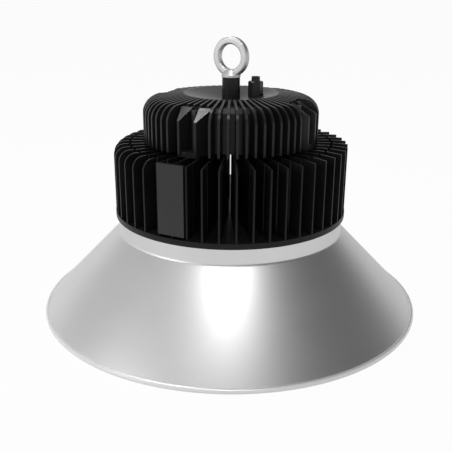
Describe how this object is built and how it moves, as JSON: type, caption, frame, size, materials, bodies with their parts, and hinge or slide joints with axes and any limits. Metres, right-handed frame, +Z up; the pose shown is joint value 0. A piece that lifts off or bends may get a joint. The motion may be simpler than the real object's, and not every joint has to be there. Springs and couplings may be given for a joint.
{
  "type": "high bay light",
  "caption": "Hanging industrial light with a lifting eye, a finned cast driver housing over a round finned heatsink and LED module, and a deep conical spun reflector.",
  "frame": {"origin": "centre of the circle on which the reflector's rolled rim stands, at the bottom of the whole light", "axes": "+Z up along the light's axis, through the lifting eye; -Y towards the front; the nameplate faces (-X, -Y)"},
  "size_m": [0.5, 0.5, 0.3522],
  "materials": {
    "painted_casting": "fine matt powder coat",
    "painted_plate": "smooth satin",
    "forged_steel": "zinc plated, satin",
    "spun_aluminium": "fine spun brushing, satin",
    "bare_aluminium": "rolled, satin",
    "zinc_steel": "zinc plated",
    "blackened_steel": "blackened, satin",
    "clear_glass": "clear, smooth",
    "seal_rubber": "matt",
    "gland_nylon": "fine matt",
    "board_white": "white solder mask",
    "led_phosphor": "smooth silicone",
    "driver_case": "extruded, satin",
    "lead_insulation": "smooth sleeve"
  },
  "bodies": {
    "root": {"reflector": "spun_aluminium", "reflector_screws": "zinc_steel", "lower_heatsink": "painted_casting", "nameplate": "painted_plate", "led_board": "board_white", "board_screws": "zinc_steel", "leds": "led_phosphor", "lens_gasket": "seal_rubber", "lens_glass": "clear_glass", "lens_bezel": "painted_casting", "bezel_screws": "zinc_steel", "driver_housing": "painted_casting", "housing_screws": "blackened_steel", "floor_plate": "bare_aluminium", "floor_gasket": "seal_rubber", "floor_screws": "zinc_steel", "driver_front": "driver_case", "driver_rear": "driver_case", "driver_screws": "zinc_steel", "lead_tube": "zinc_steel", "lead_tube_nut": "zinc_steel", "led_leads": "lead_insulation", "spacer_sleeve": "painted_casting", "eye_bolt": "forged_steel", "eye_washer": "zinc_steel", "eye_nut": "zinc_steel", "gland_seal": "seal_rubber", "gland_body": "gland_nylon", "gland_insert": "seal_rubber", "gland_cap": "gland_nylon", "gland_locknut": "gland_nylon"}
  },
  "joints": []
}
